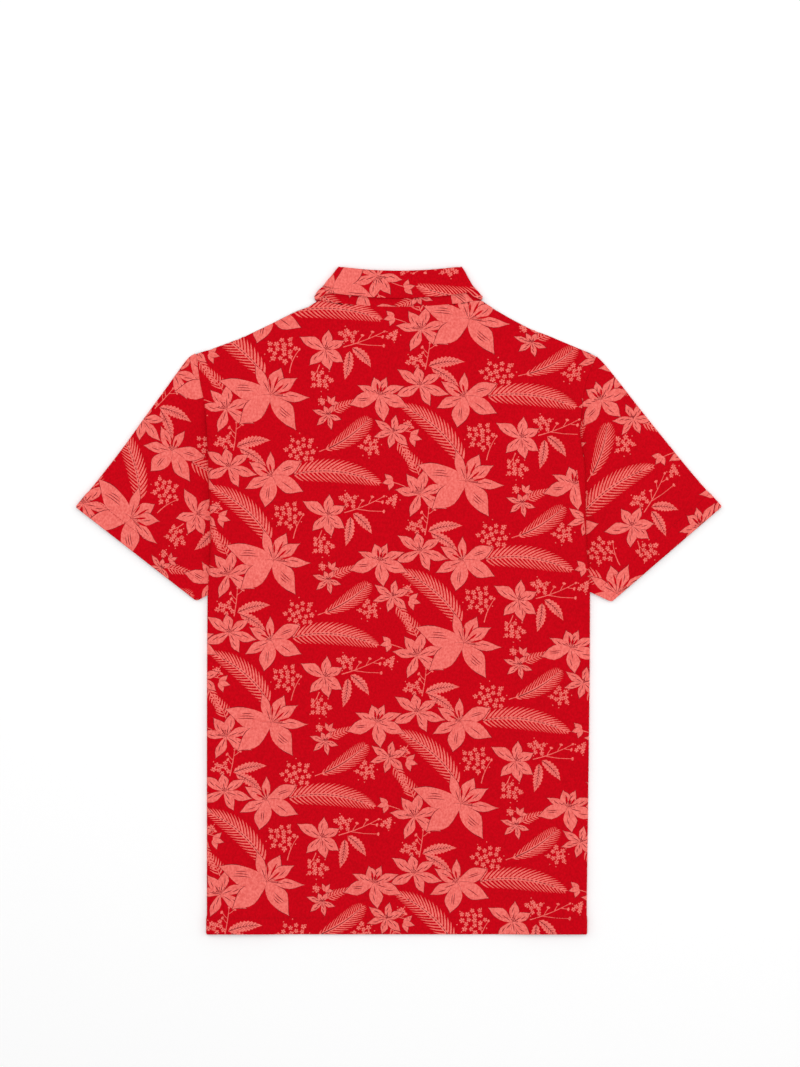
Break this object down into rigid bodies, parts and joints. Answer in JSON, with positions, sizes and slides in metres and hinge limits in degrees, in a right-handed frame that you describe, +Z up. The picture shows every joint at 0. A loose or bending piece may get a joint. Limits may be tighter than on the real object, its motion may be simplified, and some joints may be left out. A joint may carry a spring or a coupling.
{
  "type": "polo shirt",
  "caption": "Short-sleeved printed polo shirt laid out flat, back uppermost, with its sides tucked under and its collar folded down.",
  "frame": {"origin": "middle of the shirt's footprint, on the surface it lies on", "axes": "+Y from the hem towards the collar, +Z up out of the shirt's back, +X towards the wearer's right sleeve"},
  "size_m": [0.722, 0.7464, 0.0059],
  "materials": {
    "printed_knit_body": "matt cotton knit, red ground with a coral flower print",
    "printed_knit_sleeve": "matt cotton knit, red ground with a coral flower print",
    "printed_knit_collar": "matt cotton knit, red ground with a coral flower print",
    "printed_knit_placket": "matt cotton knit, red ground with a coral flower print",
    "button_resin": "polished resin"
  },
  "bodies": {
    "root": {"back_panel": "printed_knit_body", "front_panel": "printed_knit_body", "left_sleeve": "printed_knit_sleeve", "right_sleeve": "printed_knit_sleeve", "collar_stand": "printed_knit_collar", "collar_fall": "printed_knit_collar", "placket_upper": "printed_knit_placket", "placket_lower": "printed_knit_placket", "button_top": "button_resin", "button_middle": "button_resin", "button_bottom": "button_resin"}
  },
  "joints": []
}
